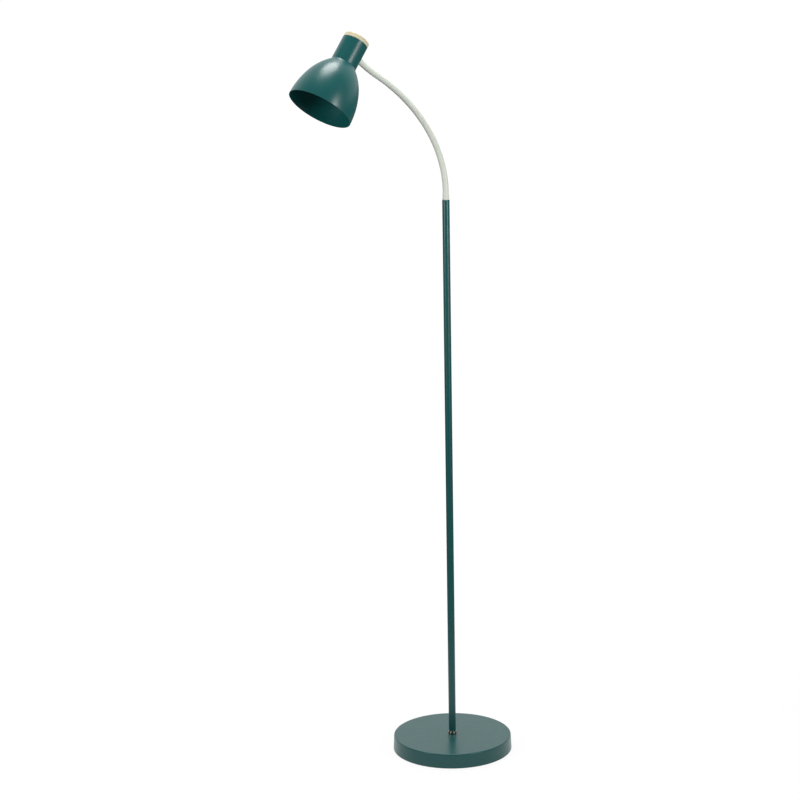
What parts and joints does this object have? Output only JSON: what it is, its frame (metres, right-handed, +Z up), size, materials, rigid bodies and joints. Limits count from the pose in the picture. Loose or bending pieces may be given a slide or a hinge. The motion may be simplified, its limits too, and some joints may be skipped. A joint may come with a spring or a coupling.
{
  "type": "gooseneck floor lamp",
  "caption": "Free-standing floor lamp: round weighted base, slim screwed pole, flexible gooseneck and a small bell shade with a wood-topped cup.",
  "frame": {"origin": "on the floor under the pole's axis, at the centre of the base", "axes": "+Z up along the pole; the gooseneck reaches towards -X in the XZ plane; the cable gland faces +X"},
  "size_m": [0.4839, 0.2424, 1.4619],
  "materials": {
    "green_paint": "satin",
    "pale_paint": "matte",
    "nickel": "polished",
    "zinc_steel": "satin",
    "cast_iron": "rough",
    "pad_rubber": "matte",
    "gland_rubber": "matte",
    "pale_wood": "matte",
    "holder_plastic": "satin",
    "brass": "satin"
  },
  "bodies": {
    "stand": {"base_pad": "pad_rubber", "base_weight": "cast_iron", "base_cover": "green_paint", "cable_gland": "gland_rubber", "base_nipple": "zinc_steel", "base_washer": "zinc_steel", "base_lock_washer": "zinc_steel", "base_nut": "zinc_steel", "foot_collar": "nickel", "lower_pole": "green_paint", "upper_pole": "green_paint", "foot_insert": "zinc_steel", "joint_insert": "zinc_steel", "joint_stud": "zinc_steel", "top_insert": "zinc_steel", "lower_ferrule": "pale_paint"},
    "neck_1": {"neck_link_1": "pale_paint"},
    "neck_2": {"neck_link_2": "pale_paint"},
    "neck_3": {"neck_link_3": "pale_paint"},
    "neck_4": {"neck_link_4": "pale_paint"},
    "neck_5": {"neck_link_5": "pale_paint"},
    "neck_6": {"neck_link_6": "pale_paint"},
    "neck_7": {"neck_link_7": "pale_paint"},
    "neck_8": {"neck_link_8": "pale_paint"},
    "head": {"upper_ferrule": "pale_paint", "neck_washer": "zinc_steel", "neck_nut": "zinc_steel", "shade": "green_paint", "shade_ring": "holder_plastic", "socket_cup": "green_paint", "wood_cap": "pale_wood", "cap_screws": "zinc_steel", "holder_skirt": "holder_plastic", "holder_cap": "holder_plastic", "holder_core": "holder_plastic", "screw_shell": "brass", "centre_contact": "brass", "terminal_screws": "brass", "holder_nipple": "zinc_steel", "nipple_nut": "zinc_steel"}
  },
  "joints": [
    {"name": "neck_bend_1", "type": "hinge", "parent": "stand", "child": "neck_1", "pos_m": [0, 0, 1.143], "axis": [0, -1, 0], "range_deg": [-30, 25]},
    {"name": "neck_swing_1", "type": "hinge", "parent": "neck_1", "child": "neck_2", "pos_m": [-0.00504, 0, 1.1856], "axis": [0.9724, 0, 0.2334], "range_deg": [-28, 28]},
    {"name": "neck_bend_2", "type": "hinge", "parent": "neck_2", "child": "neck_3", "pos_m": [-0.0192, 0, 1.22613], "axis": [0, -1, 0], "range_deg": [-30, 25]},
    {"name": "neck_swing_2", "type": "hinge", "parent": "neck_3", "child": "neck_4", "pos_m": [-0.04051, 0, 1.26342], "axis": [0.8241, 0, 0.5664], "range_deg": [-28, 28]},
    {"name": "neck_bend_3", "type": "hinge", "parent": "neck_4", "child": "neck_5", "pos_m": [-0.06725, 0, 1.29705], "axis": [0, -1, 0], "range_deg": [-30, 25]},
    {"name": "neck_swing_3", "type": "hinge", "parent": "neck_5", "child": "neck_6", "pos_m": [-0.09804, 0, 1.32703], "axis": [0.6561, 0, 0.7547], "range_deg": [-28, 28]},
    {"name": "neck_bend_4", "type": "hinge", "parent": "neck_6", "child": "neck_7", "pos_m": [-0.13191, 0, 1.3535], "axis": [0, -1, 0], "range_deg": [-30, 25]},
    {"name": "neck_swing_4", "type": "hinge", "parent": "neck_7", "child": "neck_8", "pos_m": [-0.16826, 0, 1.37643], "axis": [0.4924, 0, 0.8704], "range_deg": [-28, 28]},
    {"name": "neck_bend_5", "type": "hinge", "parent": "neck_8", "child": "head", "pos_m": [-0.20419, 0, 1.39999], "axis": [0, -1, 0], "range_deg": [-30, 25]}
  ]
}
